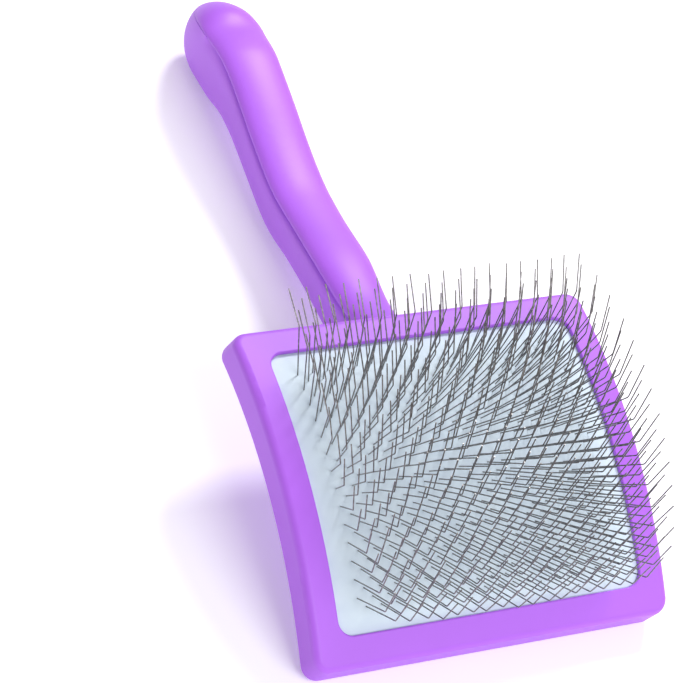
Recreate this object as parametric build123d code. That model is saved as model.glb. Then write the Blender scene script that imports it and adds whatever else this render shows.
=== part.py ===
from build123d import *
import math
import os

# Long-pin slicker brush for dematting. Millimetres.
# The head is drawn in its own frame first: X across the head, Z up towards the
# handle, Y from the pins towards the back. Its face is part of a cylinder whose
# axis runs along X behind the head, so a place on it is given by x, by the arc
# length s along the curve and by the depth below the face.
# At the end every piece is turned about X so that the brush lies on its back,
# pins up, on the lower edge of the head and the end of the handle.

# ---- head ----
FACE_R = 153.0            # radius of the curved face
OPEN_HALF_W = 52.0        # pad opening, half width
OPEN_HALF_ARC = 45.1      # pad opening, half height along the curve
SIDE_BAND = 9.0           # face of the frame beside the opening
TOP_BAND = 9.0
BOTTOM_BAND = 9.4
HEAD_DEPTH = 13.2
OUTER_CORNER_R = 5.0
OPEN_CORNER_R = 5.0
FACE_EDGE_R = 2.4         # soft edge round the front of the frame
BACK_EDGE_R = 3.0
LIP_T = 1.2               # lip that holds the pad in
WALL_T = 4.6              # side walls behind the lip
CAVITY_CORNER_R = 2.0
SHELL_T = 2.4             # back shell, let into the rear of the frame
SHELL_INSET = 3.3
RIB_HALF_T = 0.8

# ---- cushioned pad ----
PAD_TRAVEL = 2.0          # how far the pad gives under the hand
SHEET_GAP = 0.3           # between the lip and the edge of the sheet
SHEET_T = 1.4
SHEET_RIM = 4.2           # width of sheet held under the lip
DOME = 6.4                # rise of the middle of the sheet over its edge
BOARD_T = 1.5
FOAM_GAP = 0.3

# ---- pins ----
WIRE_R = 0.2
PIN_PITCH_X = 4.93
PIN_ROW_PITCH = 2.76
PIN_ROWS = 28
PINS_LONG_ROW = 19
FIRST_ROW_ARC = -37.3
PIN_LEG = 19.7            # from the sheet to the bend
PIN_TIP = 11.6            # from the bend to the cut end
PIN_BEND = 40.0           # degrees, tips turned towards the handle
BEND_R = 1.6
CROWN_R = 0.45

# ---- handle ----
GRIP_CROWN = 4.5          # rise of the front grip over the parting line
SEAM_GAP = 0.4
CORE_GROOVE = 2.0         # how far each half is drawn in along the parting line
GRIP_GROOVE = 1.0
GROOVE_END = 184.0        # height on the handle where the groove has run out
GROOVE_FADE = 24.0
END_LENGTH = 15.0         # rounded end past the last station
END_LEAN = 0.1            # how far the rounded end leans back, per unit of height
END_ANGLES = (22, 42, 58, 71, 80, 86)
END_SEAM_SHIFT = 0.6      # how far the parting line moves to the middle of the end

# ---- scatter of the hand of pins ----
SCATTER_LEG = 0.035       # radians
SCATTER_TIP = 0.06


def place(x, s, depth):
    """Point at x, arc length s and a depth below the curved face."""
    a = s / FACE_R
    r = FACE_R - depth
    return Vector(x, FACE_R - r * math.cos(a), r * math.sin(a))


def curved_block(depth_0, depth_1, s_0, s_1, half_w, corner_r=0.0):
    """Block that follows the face between two depths, with rounded corners."""
    mid = (s_0 + s_1) / 2
    front = [place(-half_w, s, depth_0) for s in (s_0, mid, s_1)]
    back = [place(-half_w, s, depth_1) for s in (s_1, mid, s_0)]
    outline = Wire([
        ThreePointArc(*front),
        Line(front[2], back[0]),
        ThreePointArc(*back),
        Line(back[2], front[0]),
    ])
    block = extrude(Face(outline), amount=2 * half_w, dir=(1, 0, 0))
    if corner_r:
        block = fillet(radial_edges(block, half_w), corner_r)
    return block


def radial_edges(block, half_w):
    """The four straight edges at the corners of a block."""
    return [
        e for e in block.edges().filter_by(GeomType.LINE)
        if abs(abs(e.center().X) - half_w) < 1e-3
    ]


def depth_of(point):
    return FACE_R - math.hypot(point.Y - FACE_R, point.Z)


def edges_at_depth(shape, depth):
    return [
        e for e in shape.edges()
        if all(abs(depth_of(e @ t) - depth) < 1e-3 for t in (0.0, 0.5, 1.0))
    ]


# ---------------------------------------------------------------- head frame
OUT_W = OPEN_HALF_W + SIDE_BAND
OUT_TOP = FACE_R * math.sin((OPEN_HALF_ARC + TOP_BAND) / FACE_R)
OUT_BOTTOM = -FACE_R * math.sin((OPEN_HALF_ARC + BOTTOM_BAND) / FACE_R)


def on_curve(x, z, depth):
    """Point at x and height z on the surface a depth below the face."""
    r = FACE_R - depth
    return Vector(x, FACE_R - math.sqrt(r * r - z * z), z)


def inset_block(depth_0, depth_1, inset, corner_r):
    """Slab between two depths, set in from the outline of the head all round.

    Its walls are square to the back of the head, not to the curved face.
    """
    half_w = OUT_W - inset
    heights = [OUT_BOTTOM + inset, 0.0, OUT_TOP - inset]
    front = [on_curve(-half_w, z, depth_0) for z in heights]
    back = [on_curve(-half_w, z, depth_1) for z in reversed(heights)]
    outline = Wire([
        ThreePointArc(*front),
        Line(front[2], back[0]),
        ThreePointArc(*back),
        Line(back[2], front[0]),
    ])
    block = extrude(Face(outline), amount=2 * half_w, dir=(1, 0, 0))
    if corner_r:
        block = fillet(radial_edges(block, half_w), corner_r)
    return block


def make_frame():
    frame = inset_block(0, HEAD_DEPTH, 0, OUTER_CORNER_R)
    frame = fillet(edges_at_depth(frame, 0), FACE_EDGE_R)
    frame = fillet(edges_at_depth(frame, HEAD_DEPTH), BACK_EDGE_R)
    opening = curved_block(-1, LIP_T + 1, -OPEN_HALF_ARC, OPEN_HALF_ARC,
                           OPEN_HALF_W, OPEN_CORNER_R)
    cavity = inset_block(LIP_T, HEAD_DEPTH + 1, WALL_T, CAVITY_CORNER_R)
    recess = inset_block(HEAD_DEPTH - SHELL_T, HEAD_DEPTH + 1, SHELL_INSET,
                         OUTER_CORNER_R - SHELL_INSET)
    frame = frame - opening - cavity - recess
    mouth = [e for e in edges_at_depth(frame, 0)]
    return fillet(mouth, 0.5)


# ---------------------------------------------------------------- back shell
BOARD_DEPTH = LIP_T + SHEET_GAP + SHEET_T + PAD_TRAVEL + 0.4


def make_shell():
    shell = inset_block(HEAD_DEPTH - SHELL_T, HEAD_DEPTH, SHELL_INSET + 0.05,
                        OUTER_CORNER_R - SHELL_INSET)
    rib_front = BOARD_DEPTH + BOARD_T
    rib_back = HEAD_DEPTH - SHELL_T + 0.3
    for x in (-36, -12, 12, 36):
        rib = curved_block(rib_front, rib_back, -46, 46, RIB_HALF_T)
        shell += Pos(x, 0, 0) * rib
    for s in (-30, 0, 30):
        shell += curved_block(rib_front, rib_back, s - RIB_HALF_T, s + RIB_HALF_T, 50)
    return shell


# ---------------------------------------------------------------- cushion
RIM_W = OPEN_HALF_W + SHEET_RIM
RIM_ARC = OPEN_HALF_ARC + SHEET_RIM
RIM_DEPTH = LIP_T + SHEET_GAP
DOME_W = OPEN_HALF_W - 0.5
DOME_ARC = OPEN_HALF_ARC - 0.5


def dome(x, s):
    """Rise of the sheet over its held edge."""
    across = max(0.0, 1 - (x / DOME_W) ** 2)
    along = max(0.0, 1 - (s / DOME_ARC) ** 2)
    return DOME * across * along


def domed_slab(top, bottom, xs, arcs):
    """Solid between two domed surfaces, each a function of x and s."""
    sections = []
    for x in xs:
        front = [place(x, s, top(x, s)) for s in arcs]
        back = [place(x, s, bottom(x, s)) for s in reversed(arcs)]
        sections.append(Wire([
            Spline(*front),
            Line(front[-1], back[0]),
            Spline(*back),
            Line(back[-1], front[0]),
        ]))
    return Solid.make_loft(sections)


def spread(edge, count):
    """Even positions from one edge of the dome to the other."""
    return [edge * t / count for t in range(-count, count + 1)]


def with_rim(positions, rim):
    """The same positions with the held rim added at both ends."""
    mid = (rim + positions[-1]) / 2
    return [-rim, -mid] + positions + [mid, rim]


def make_sheet():
    slab = domed_slab(
        lambda x, s: RIM_DEPTH - dome(x, s),
        lambda x, s: RIM_DEPTH + SHEET_T - dome(x, s),
        with_rim(spread(DOME_W, 7), RIM_W),
        with_rim(spread(DOME_ARC, 7), RIM_ARC))
    corners = curved_block(-20, 20, -RIM_ARC + 0.05, RIM_ARC - 0.05, RIM_W - 0.05, 5.0)
    return slab & corners


def make_foam():
    half_w = DOME_W - 1.0
    half_arc = DOME_ARC - 1.0
    slab = domed_slab(
        lambda x, s: RIM_DEPTH + SHEET_T + FOAM_GAP - dome(x, s),
        lambda x, s: BOARD_DEPTH,
        spread(half_w, 7), spread(half_arc, 7))
    corners = curved_block(-20, 20, -half_arc + 0.1, half_arc - 0.1, half_w - 0.1,
                           OPEN_CORNER_R)
    return slab & corners


def make_board():
    return curved_block(BOARD_DEPTH, BOARD_DEPTH + BOARD_T, -RIM_ARC, RIM_ARC,
                        RIM_W, 5.0)


# ---------------------------------------------------------------- pins
def leg_angles(x, s):
    """Lean of a leg, sideways and along the head, in radians."""
    across = x / 44.0
    along = s / 40.0
    side = across * (0.298 - 0.207 * along ** 2 + 0.079 * along)
    lean = (-0.299 + 0.540 * along + 0.267 * along ** 2 + 0.013 * along ** 3
            + 0.095 * across ** 2)
    return side, lean


def direction(side, lean):
    return Vector(math.sin(side), -math.cos(side) * math.cos(lean),
                  math.cos(side) * math.sin(lean))


def scatter(x, s, turn):
    """Repeatable uneven value between -1 and 1 for the pin at x and s."""
    return math.sin(7.3 * x + 3.1 * s + turn) * math.sin(2.7 * x - 5.9 * s + 2 * turn)


def pin_points(x, s):
    """Foot inside the sheet, bend and cut end of one pin."""
    root = place(x, s, RIM_DEPTH - dome(x, s))
    side, lean = leg_angles(x, s)
    side += SCATTER_LEG * scatter(x, s, 0)
    lean += SCATTER_LEG * scatter(x, s, 1)
    leg = direction(side, lean)
    bent = lean + math.radians(PIN_BEND) + SCATTER_TIP * scatter(x, s, 2)
    tip = direction(0.9 * side + SCATTER_TIP * scatter(x, s, 3), bent)
    bend = root + leg * PIN_LEG
    foot = root - leg * (0.55 * SHEET_T)
    return foot, bend, bend + tip * PIN_TIP


def wire(points, radii):
    path = FilletPolyline(*points, radius=radii)
    start = Plane(origin=path @ 0, z_dir=path % 0)
    return sweep(start * Circle(WIRE_R), path=path)


def staple(x_0, x_1, s):
    """Two pins bent from one piece of wire, with the crown in the sheet."""
    foot_0, bend_0, tip_0 = pin_points(x_0, s)
    foot_1, bend_1, tip_1 = pin_points(x_1, s)
    points = [tip_0, bend_0, foot_0, foot_1, bend_1, tip_1]
    return wire(points, [BEND_R, CROWN_R, CROWN_R, BEND_R])


def single_pin(x, s):
    """The odd pin at the end of a long row, with a short bent foot."""
    foot, bend, tip = pin_points(x, s)
    return wire([tip, bend, foot, foot + Vector(1.6, 0, 0)], [BEND_R, CROWN_R])


def make_pin_row(index):
    s = FIRST_ROW_ARC + index * PIN_ROW_PITCH
    long_row = index % 2 == 1
    count = PINS_LONG_ROW if long_row else PINS_LONG_ROW - 1
    first = -(count - 1) / 2 * PIN_PITCH_X
    xs = [first + i * PIN_PITCH_X for i in range(count)]
    pieces = [staple(xs[i], xs[i + 1], s) for i in range(0, count - 1, 2)]
    if long_row:
        pieces.append(single_pin(xs[-1], s))
    return pieces


# ---------------------------------------------------------------- handle
# Stations up the handle: parting line (y, z), back (y, z), half width. The first
# five run out into a ramp on the back of the head.
STATIONS = [
    ((9.0, 8.0), (12.0, -8.0), 10.5),
    ((12.0, 18.0), (20.0, 4.0), 10.8),
    ((17.0, 29.0), (32.0, 18.0), 10.2),
    ((23.5, 41.5), (43.0, 33.0), 9.0),
    ((30.5, 54.0), (50.5, 47.0), 7.8),
    ((37.5, 66.0), (55.5, 60.0), 8.3),
    ((44.0, 82.0), (59.5, 74.5), 9.5),
    ((52.5, 98.0), (67.0, 90.0), 9.4),
    ((60.0, 114.0), (77.0, 108.0), 9.7),
    ((64.0, 130.0), (81.5, 127.0), 9.8),
    ((66.5, 146.0), (85.0, 143.0), 9.9),
    ((68.5, 158.0), (89.8, 154.7), 9.9),
    ((71.0, 168.0), (96.0, 162.5), 10.2),
    ((75.0, 176.0), (102.3, 172.5), 10.5),
    ((77.5, 181.5), (107.5, 184.0), 10.7),
]
ROUNDING = {-3: 0.15, -2: 0.35, -1: 0.6}    # how round the last stations are
FIRST_GRIP_STATION = 2
CORE_SHAPE = [(1.00, 0.16), (0.985, 0.30), (0.965, 0.45), (0.94, 0.63),
              (0.82, 0.82), (0.55, 0.95), (0.28, 0.99)]
GRIP_SHAPE = [(1.00, 0.20), (0.955, 0.42), (0.84, 0.65), (0.62, 0.84), (0.33, 0.96)]


def blend(points, t):
    """Smooth curve through four even values, at t between the middle two."""
    p0, p1, p2, p3 = points
    return (p1 * 2 + (p2 - p0) * t + (p0 * 2 - p1 * 5 + p2 * 4 - p3) * t ** 2
            + (p1 * 3 - p0 - p2 * 3 + p3) * t ** 3) * 0.5


def handle_sections(first=0):
    """Parting line, back, half width, crown, size and roundness of sections."""
    rows = [(Vector(0, *seam), Vector(0, *back), half_w, ROUNDING.get(i - len(STATIONS), 0.0))
            for i, (seam, back, half_w) in enumerate(STATIONS)]
    rows = rows[first:]
    sections = []
    for i, row in enumerate(rows):
        sections.append((row[0], row[1], row[2], GRIP_CROWN, 1.0, row[3]))
        if 0 < i < len(rows) - 2:
            around = zip(*rows[i - 1:i + 3])
            seam, back, half_w, rounding = [blend(values, 0.5) for values in around]
            sections.append((seam, back, half_w, GRIP_CROWN, 1.0, max(0.0, rounding)))
    return sections + end_sections(*rows[-1])


def end_sections(seam, back, half_w, rounding):
    """Sections of the rounded end, each smaller than the one before."""
    normal = (back - seam).normalized()
    half_t = ((back - seam).length + GRIP_CROWN) / 2
    middle = back - normal * half_t
    onward = Vector(0, END_LEAN, 1).normalized() * END_LENGTH
    sections = []
    for angle in END_ANGLES:
        size = math.cos(math.radians(angle))
        sweep_on = math.sin(math.radians(angle))
        at = middle + onward * sweep_on
        to_seam = (half_t - GRIP_CROWN) * size * (1 - END_SEAM_SHIFT * sweep_on)
        sections.append((at - normal * to_seam, at + normal * half_t * size,
                         half_w * size, half_t * size - to_seam, size,
                         rounding + (1 - rounding) * sweep_on))
    return sections


def mirrored(half, peak):
    """Full row of points from one side of a section to the other."""
    return half + [peak] + [(-x, v) for x, v in reversed(half)]


def rounded(shape, amount):
    """shape drawn towards a quarter of an ellipse."""
    return [(x + (math.sqrt(1 - v * v) - x) * amount, v) for x, v in shape]


def section(seam, normal, half_w, shape, rise, offset, groove):
    """Closed section across the handle, flat along the parting line.

    shape holds half of the curve as fractions of the half width and of rise,
    which is measured from the parting line, towards the back when positive.
    """
    half = [(1.0 - groove / half_w, offset / rise)] + shape
    points = [
        seam + Vector(x * half_w, 0, 0) + normal * (v * rise)
        for x, v in mirrored(half, (0.0, 1.0))
    ]
    return Wire([Spline(*points), Line(points[-1], points[0])])


def groove_left(seam):
    """Share of the groove that is left at a point of the parting line."""
    t = min(1.0, max(0.0, (GROOVE_END - seam.Z) / GROOVE_FADE))
    return 0.05 + 0.95 * t * t * (3 - 2 * t)


def make_core(head):
    wires = []
    for seam, back, half_w, crown, size, rounding in handle_sections():
        wires.append(section(
            seam, (back - seam).normalized(), half_w, rounded(CORE_SHAPE, rounding),
            (back - seam).length, 0.0, CORE_GROOVE * size * groove_left(seam)))
    return Solid.make_loft(wires) - head


def make_grip(head):
    wires = []
    for seam, back, half_w, crown, size, rounding in handle_sections(FIRST_GRIP_STATION):
        wires.append(section(
            seam, (back - seam).normalized(), half_w, rounded(GRIP_SHAPE, rounding),
            -crown, -SEAM_GAP * size, GRIP_GROOVE * size * groove_left(seam)))
    return Solid.make_loft(wires) - head


# ---------------------------------------------------------------- assembly
def handle_only(shape):
    """The one large solid left above the back of the head."""
    return max(shape.solids(), key=lambda solid: solid.volume)


def build():
    nodes = {"head_frame": [make_frame()], "head_back_shell": [make_shell()]}
    head = inset_block(-30, HEAD_DEPTH + 0.02, 0, 0)
    core = handle_only(make_core(head))
    nodes["handle_core"] = [core]
    nodes["handle_front_grip"] = [handle_only(make_grip(head) - core)]
    nodes["pad_backing_board"] = [make_board()]
    nodes["pad_foam"] = [make_foam()]
    nodes["pad_sheet"] = [make_sheet()]
    for index in range(PIN_ROWS):
        nodes[f"pin_row_{index + 1:02d}"] = make_pin_row(index)
    return nodes


def lay_down(nodes):
    """Turn the brush onto its back and put the origin under its middle."""
    heel = place(0, OUT_BOTTOM, HEAD_DEPTH)
    box = Compound([s for s in nodes["handle_core"]]).bounding_box()
    tilt = math.degrees(math.atan2(box.max.Y - heel.Y, STATIONS[-1][1][1] - heel.Z))
    for _ in range(30):
        turned = turn_all(nodes, tilt)
        head_low = lowest(turned, ("head_frame", "head_back_shell"))
        tail_low = lowest(turned, ("handle_core", "handle_front_grip"))
        if abs(head_low - tail_low) < 1e-3:
            break
        tilt += math.degrees((head_low - tail_low) / 240.0)
    print(f"tilt {tilt:.4f} degrees")
    box = Compound([s for solids in turned.values() for s in solids]).bounding_box()
    shift = Pos(-(box.min.X + box.max.X) / 2, -(box.min.Y + box.max.Y) / 2, -box.min.Z)
    print("shift", shift.position)
    return {name: [shift * s for s in solids] for name, solids in turned.items()}


def turn_all(nodes, tilt):
    turn = Rot(-(90 - tilt), 0, 0)
    return {name: [turn * s for s in solids] for name, solids in nodes.items()}


def lowest(nodes, names):
    return min(s.bounding_box().min.Z for name in names for s in nodes[name])


def main():
    os.makedirs("parts", exist_ok=True)
    nodes = lay_down(build())
    for name, solids in nodes.items():
        shape = Compound(children=[Solid(s.solids()[0].wrapped) for s in solids])
        shape.label = name
        export_step(shape, f"parts/{name}.step")
    box = Compound([s for solids in nodes.values() for s in solids]).bounding_box()
    print("size", box.size)


main()
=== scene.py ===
import math

import bmesh
import bpy
import numpy as np
from mathutils import Matrix, Vector

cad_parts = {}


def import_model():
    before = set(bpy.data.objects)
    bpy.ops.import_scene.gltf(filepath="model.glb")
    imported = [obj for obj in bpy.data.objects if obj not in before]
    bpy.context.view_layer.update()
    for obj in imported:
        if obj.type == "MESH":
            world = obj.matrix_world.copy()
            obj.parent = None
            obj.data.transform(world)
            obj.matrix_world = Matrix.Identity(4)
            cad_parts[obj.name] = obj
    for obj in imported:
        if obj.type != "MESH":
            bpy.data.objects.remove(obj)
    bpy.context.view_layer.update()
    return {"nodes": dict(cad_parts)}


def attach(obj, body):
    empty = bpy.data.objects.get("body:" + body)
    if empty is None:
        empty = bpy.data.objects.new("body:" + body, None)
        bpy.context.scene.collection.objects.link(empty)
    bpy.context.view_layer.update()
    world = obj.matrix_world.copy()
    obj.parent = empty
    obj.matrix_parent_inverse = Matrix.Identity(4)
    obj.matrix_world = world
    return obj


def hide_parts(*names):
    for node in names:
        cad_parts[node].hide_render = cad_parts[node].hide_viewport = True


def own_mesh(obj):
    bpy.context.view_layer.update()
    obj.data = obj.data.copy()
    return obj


MM = 0.001

# Head frame of the brush: X across, Z towards the handle, Y away from the pins.
# It is turned by TURN about X and shifted to lie on its back in the part's frame.
# Lengths are in millimetres, but the camera's place and the floor are in metres.
TURN = math.radians(-69.9540)
SHIFT = Vector((0.0, -83.0137, 38.4594))

FACE_R = 153.0
OPEN_HALF_W = 52.0
OPEN_HALF_ARC = 45.1
OPEN_CORNER_R = 5.0
RIM_DEPTH = 1.5           # depth of the sheet's edge, under the lip
SHEET_T = 1.4
RIM = 3.6                 # width of the sheet held under the lip
DOME = 6.4
DOME_INSET = 0.5          # the dome ends this far inside the opening
BOARD_DEPTH = 5.3
PIN_PITCH_X = 4.93
PIN_ROW_PITCH = 2.76
PIN_ROWS = 28
PINS_LONG_ROW = 19
FIRST_ROW_ARC = -37.3

DIMPLE_DEPTH = 0.32
DIMPLE_R = 1.3
DIMPLE_REACH = 4.0        # a pin further off leaves no mark
GRID_STEP = 0.62
GAP_SHADE_WIDTH = 0.7           # painted shade: width of the dark band that stands in for the shadowed gap between the sheet and the frame
FOAM_STEP = 2.0
FOAM_INSET = 2.5          # the foam ends this far inside the opening
FOAM_BASE_RISE = 0.85     # rise of the foam's underside half way along
FOAM_CLEARANCE = 0.3      # gap between the foam and the sheet
FOAM_EDGE_FALL = 1.8      # extra gap where the dome runs out

CAMERA_AT = (-0.43817, -0.53891, 0.71306)
CAMERA_TURN = (41.842, -15.931, -22.316)
CAMERA_LENS = 162.2
CAMERA_SENSOR = 36.0
CAMERA_CLIP = 20.0
FLOOR_HALF = 6.0
FLOOR_GAP = 0.0004
FLOOR_GLOW = 0.22
WORLD_LIGHT = 0.40

PURPLE = (0.46, 0.130, 0.86)
WHITE = (1.0, 1.0, 1.0, 1.0)


def to_part(point):
    """Point of the head frame in millimetres, as metres in the part's frame."""
    return (Matrix.Rotation(TURN, 3, "X") @ Vector(point) + SHIFT) * MM


def place(x, s, depth):
    """Point of the head frame at x across, s along the curved face and depth below it."""
    a = s / FACE_R
    r = FACE_R - depth
    return Vector((x, FACE_R - r * math.cos(a), r * math.sin(a)))


def add_to_scene(name, data):
    obj = bpy.data.objects.new(name, data)
    bpy.context.scene.collection.objects.link(obj)
    return obj


# ------------------------------------------------------------------ materials
class Nodes:
    """Small helper that builds a node tree for one material."""

    def __init__(self, name):
        self.mat = bpy.data.materials.new(name)
        self.mat.use_nodes = True
        self.tree = self.mat.node_tree
        self.shader = self.tree.nodes["Principled BSDF"]
        self.coords = self.add("ShaderNodeTexCoord").outputs["Object"]

    def add(self, kind):
        return self.tree.nodes.new(kind)

    def link(self, a, b):
        self.tree.links.new(a, b)

    def set(self, name, value):
        self.shader.inputs[name].default_value = value

    def noise(self, scale, detail=3.0):
        node = self.add("ShaderNodeTexNoise")
        node.inputs["Scale"].default_value = scale
        node.inputs["Detail"].default_value = detail
        self.link(self.coords, node.inputs["Vector"])
        return node.outputs["Fac"]

    def cells(self, scale):
        node = self.add("ShaderNodeTexVoronoi")
        node.inputs["Scale"].default_value = scale
        self.link(self.coords, node.inputs["Vector"])
        return node.outputs["Distance"]

    def base_colour(self, value, low, high):
        """Base colour that wanders between two colours with value."""
        node = self.add("ShaderNodeValToRGB")
        stops = zip(node.color_ramp.elements, (0.3, 0.7), (low, high))
        for element, position, colour in stops:
            element.position = position
            element.color = (*colour, 1.0)
        self.link(value, node.inputs["Fac"])
        self.link(node.outputs["Color"], self.shader.inputs["Base Color"])

    def roughness(self, value, low, high):
        node = self.add("ShaderNodeMapRange")
        node.inputs["To Min"].default_value = low
        node.inputs["To Max"].default_value = high
        self.link(value, node.inputs["Value"])
        self.link(node.outputs["Result"], self.shader.inputs["Roughness"])

    def bump(self, value, strength, distance):
        node = self.add("ShaderNodeBump")
        node.inputs["Strength"].default_value = strength
        node.inputs["Distance"].default_value = distance
        self.link(value, node.inputs["Height"])
        self.link(node.outputs["Normal"], self.shader.inputs["Normal"])


def tint(colour, amount):
    return tuple(min(1.0, c * amount) for c in colour)


def plastic(name, colour, roughness):
    """Satin moulded plastic with a fine spark texture and faint flow marks."""
    m = Nodes(name)
    flow = m.noise(scale=38.0, detail=2.0)
    m.base_colour(flow, low=tint(colour, 0.975), high=tint(colour, 1.02))
    grain = m.noise(scale=5200.0, detail=2.0)
    m.roughness(grain, low=roughness - 0.04, high=roughness + 0.05)
    m.bump(grain, strength=0.06, distance=0.00004)
    m.set("Specular IOR Level", 0.5)
    return m.mat


def rubber(name):
    """Pale blue coated sheet, slightly soft, with a faint mottled coat."""
    m = Nodes(name)
    m.base_colour(m.noise(scale=120.0), low=(0.65, 0.76, 0.88), high=(0.71, 0.82, 0.92))
    grain = m.noise(scale=2600.0)
    m.roughness(grain, low=0.48, high=0.62)
    m.bump(grain, strength=0.16, distance=0.00008)
    m.set("Specular IOR Level", 0.3)
    return m.mat


def painted_gap_shade(name):
    """Painted shade: near-black colour that stands in for the shadowed gap round the sheet,
    under the frame's lip.
    """
    m = Nodes(name)
    m.base_colour(m.noise(scale=400.0), low=(0.035, 0.030, 0.045), high=(0.060, 0.050, 0.070))
    m.set("Roughness", 0.8)
    return m.mat


def foam(name):
    """Pale foam with open cells."""
    m = Nodes(name)
    pores = m.cells(scale=900.0)
    m.base_colour(pores, low=(0.55, 0.57, 0.60), high=(0.84, 0.86, 0.88))
    m.bump(pores, strength=0.6, distance=0.0004)
    m.set("Roughness", 0.95)
    return m.mat


def board(name):
    """Plain grey plastic board."""
    m = Nodes(name)
    m.base_colour(m.noise(scale=60.0), low=(0.55, 0.55, 0.57), high=(0.66, 0.66, 0.68))
    m.bump(m.noise(scale=1800.0), strength=0.15, distance=0.0001)
    m.set("Roughness", 0.6)
    return m.mat


def steel_wire(name):
    """Drawn steel wire with small changes in tone and polish."""
    m = Nodes(name)
    streaks = m.noise(scale=700.0, detail=2.0)
    m.base_colour(streaks, low=(0.120, 0.115, 0.115), high=(0.340, 0.320, 0.310))
    m.roughness(streaks, low=0.28, high=0.44)
    m.set("Metallic", 0.9)
    return m.mat


def white_floor(name):
    """White studio floor that glows a little, so that shadows stay light."""
    m = Nodes(name)
    m.base_colour(m.noise(scale=6.0), low=(0.93, 0.93, 0.935), high=(0.95, 0.95, 0.95))
    m.set("Roughness", 0.9)
    m.set("Specular IOR Level", 0.1)
    m.set("Emission Color", WHITE)
    m.set("Emission Strength", FLOOR_GLOW)
    return m.mat


def give(obj, material):
    obj.data.materials.clear()
    obj.data.materials.append(material)


# ------------------------------------------------------------------ meshes
def dome(x, s):
    """Height of the domed sheet above its edge."""
    across = max(0.0, 1 - (x / (OPEN_HALF_W - DOME_INSET)) ** 2)
    along = max(0.0, 1 - (s / (OPEN_HALF_ARC - DOME_INSET)) ** 2)
    return DOME * across * along


def pin_roots():
    """x and arc position of every pin where it comes out of the sheet."""
    roots = []
    for row in range(PIN_ROWS):
        count = PINS_LONG_ROW if row % 2 else PINS_LONG_ROW - 1
        first = -(count - 1) / 2 * PIN_PITCH_X
        s = FIRST_ROW_ARC + row * PIN_ROW_PITCH
        roots += [(first + i * PIN_PITCH_X, s) for i in range(count)]
    return np.array(roots)


def dimples(x, s, roots):
    """Depth of the small hollows that the pins pull in the sheet."""
    d2 = (roots[:, 0] - x) ** 2 + (roots[:, 1] - s) ** 2
    near = d2[d2 < DIMPLE_REACH ** 2]
    return DIMPLE_DEPTH * float(np.exp(-near / DIMPLE_R ** 2).sum())


def beyond_opening(x, s):
    """How far a place lies outside the rounded opening of the frame."""
    dx = abs(x) - (OPEN_HALF_W - OPEN_CORNER_R)
    ds = abs(s) - (OPEN_HALF_ARC - OPEN_CORNER_R)
    return math.hypot(max(dx, 0), max(ds, 0)) + min(max(dx, ds), 0) - OPEN_CORNER_R


def steps(half, step):
    """Evenly spaced places from -half to half, about a step apart."""
    count = int(round(2 * half / step))
    return [-half + 2 * half * i / count for i in range(count + 1)]


def grid_layer(bm, xs, arcs, depth):
    return [[bm.verts.new(to_part(place(x, s, depth(x, s)))) for s in arcs] for x in xs]


def border(nx, ns):
    """Indices round the edge of a grid, in order."""
    ring = [(i, 0) for i in range(nx)]
    ring += [(nx - 1, j) for j in range(1, ns)]
    ring += [(i, ns - 1) for i in range(nx - 2, -1, -1)]
    return ring + [(0, j) for j in range(ns - 2, 0, -1)]


def finished(bm, name):
    """Smooth object made from bm, linked to the scene."""
    bmesh.ops.recalc_face_normals(bm, faces=bm.faces)
    mesh = bpy.data.meshes.new(name)
    bm.to_mesh(mesh)
    bm.free()
    mesh.shade_smooth()
    return add_to_scene(name, mesh)


def grid_slab(name, half_w, half_arc, step, top, bottom, slot_at=lambda x, s: 0):
    """Closed slab over a grid in x and s between two depths.

    slot_at gives the material slot of the upper face at a place.
    """
    xs = steps(half_w, step)
    arcs = steps(half_arc, step)
    bm = bmesh.new()
    upper = grid_layer(bm, xs, arcs, top)
    lower = grid_layer(bm, xs, arcs, bottom)
    for i in range(len(xs) - 1):
        for j in range(len(arcs) - 1):
            for layer in (upper, lower):
                face = bm.faces.new((layer[i][j], layer[i + 1][j],
                                     layer[i + 1][j + 1], layer[i][j + 1]))
                if layer is upper:
                    face.material_index = slot_at(xs[i] + step / 2, arcs[j] + step / 2)
    ring = border(len(xs), len(arcs))
    for (i, j), (k, m) in zip(ring, ring[1:] + ring[:1]):
        bm.faces.new((upper[i][j], lower[i][j], lower[k][m], upper[k][m]))
    return finished(bm, name)


def make_sheet():
    """Domed sheet with a hollow round each pin and a painted shade line where it meets the
    frame.
    """
    roots = pin_roots()

    def top(x, s):
        return RIM_DEPTH - dome(x, s) + dimples(x, s, roots)

    def bottom(x, s):
        return RIM_DEPTH + SHEET_T - dome(x, s)

    # faces next to the opening's edge take the painted shade of the gap under the lip
    def slot_at(x, s):
        return int(beyond_opening(x, s) > -GAP_SHADE_WIDTH)

    return grid_slab("pad_sheet_soft", OPEN_HALF_W + RIM, OPEN_HALF_ARC + RIM, GRID_STEP,
                     top, bottom, slot_at)


def make_foam():
    """Foam lens between the board and the sheet, thin at its edge."""
    def top(x, s):
        return (RIM_DEPTH + SHEET_T + FOAM_CLEARANCE - dome(x, s)
                + FOAM_EDGE_FALL * (1 - dome(x, s) / DOME))

    def bottom(x, s):
        return BOARD_DEPTH - FOAM_BASE_RISE * (1 - (s / OPEN_HALF_ARC) ** 2)

    return grid_slab("pad_foam_soft", OPEN_HALF_W - FOAM_INSET, OPEN_HALF_ARC - FOAM_INSET,
                     FOAM_STEP, top, bottom)


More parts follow.
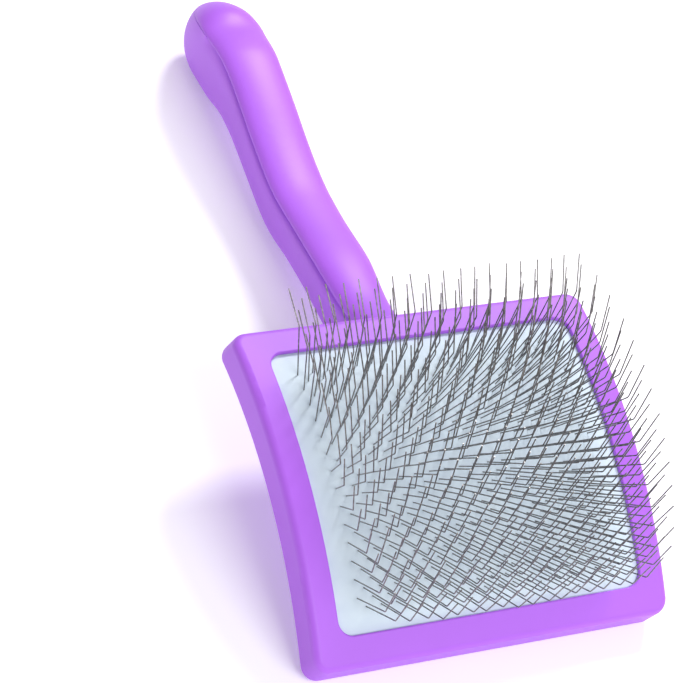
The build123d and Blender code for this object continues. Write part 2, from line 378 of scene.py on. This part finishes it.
# ------------------------------------------------------------------ scene
def dress_cad_nodes(nodes):
    """Materials for the pieces that keep their CAD shape."""
    purple = plastic("purple_plastic", PURPLE, roughness=0.50)
    wire = steel_wire("pin_wire")
    for name in ("head_frame", "head_back_shell", "handle_core"):
        give(nodes[name], purple)
    give(nodes["handle_front_grip"], plastic("purple_grip", PURPLE, roughness=0.46))
    give(nodes["pad_backing_board"], board("board_plastic"))
    for name, node in nodes.items():
        if name.startswith("pin_row"):
            give(node, wire)


def add_sheet():
    sheet = make_sheet()
    give(sheet, rubber("pad_rubber"))
    # second slot: painted shade for the gap between the sheet and the frame's lip
    sheet.data.materials.append(painted_gap_shade("pad_painted_gap_shade"))
    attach(sheet, "pin_pad")
    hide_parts("pad_sheet")


def add_foam():
    cushion = make_foam()
    give(cushion, foam("pad_foam"))
    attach(cushion, "brush")
    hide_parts("pad_foam")
    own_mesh(cushion)


def add_camera():
    data = bpy.data.cameras.new("camera")
    data.sensor_fit = "HORIZONTAL"
    data.sensor_width = CAMERA_SENSOR
    data.lens = CAMERA_LENS
    data.clip_end = CAMERA_CLIP
    camera = add_to_scene("camera", data)
    camera.location = CAMERA_AT
    camera.rotation_euler = [math.radians(a) for a in CAMERA_TURN]
    bpy.context.scene.camera = camera


def add_world():
    world = bpy.data.worlds.new("world")
    world.use_nodes = True
    background = world.node_tree.nodes["Background"]
    background.inputs["Color"].default_value = WHITE
    background.inputs["Strength"].default_value = WORLD_LIGHT
    bpy.context.scene.world = world


def add_area(name, at, target, size, power):
    """Round area light, with places and size in metres and power in watts."""
    data = bpy.data.lights.new(name, "AREA")
    data.shape = "DISK"
    data.size = size
    data.energy = power
    light = add_to_scene(name, data)
    light.location = at
    aim = Vector(target) - Vector(at)
    light.rotation_euler = aim.to_track_quat("-Z", "Y").to_euler()


def add_floor():
    corners = [(x * FLOOR_HALF, y * FLOOR_HALF, -FLOOR_GAP)
               for x, y in ((-1, -1), (1, -1), (1, 1), (-1, 1))]
    mesh = bpy.data.meshes.new("floor")
    mesh.from_pydata(corners, [], [(0, 1, 2, 3)])
    floor = add_to_scene("floor", mesh)
    give(floor, white_floor("floor_white"))


def main():
    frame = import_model()
    dress_cad_nodes(frame["nodes"])
    add_sheet()
    add_foam()
    add_camera()
    add_world()
    add_area("key", at=(0.70, 0.75, 1.25), target=(0, 0.0, 0.03), size=0.45, power=17)
    add_area("fill", at=(0.15, -1.3, 1.3), target=(0, -0.05, 0.03), size=1.2, power=20)
    add_floor()
    bpy.context.scene.view_settings.view_transform = "Standard"


main()
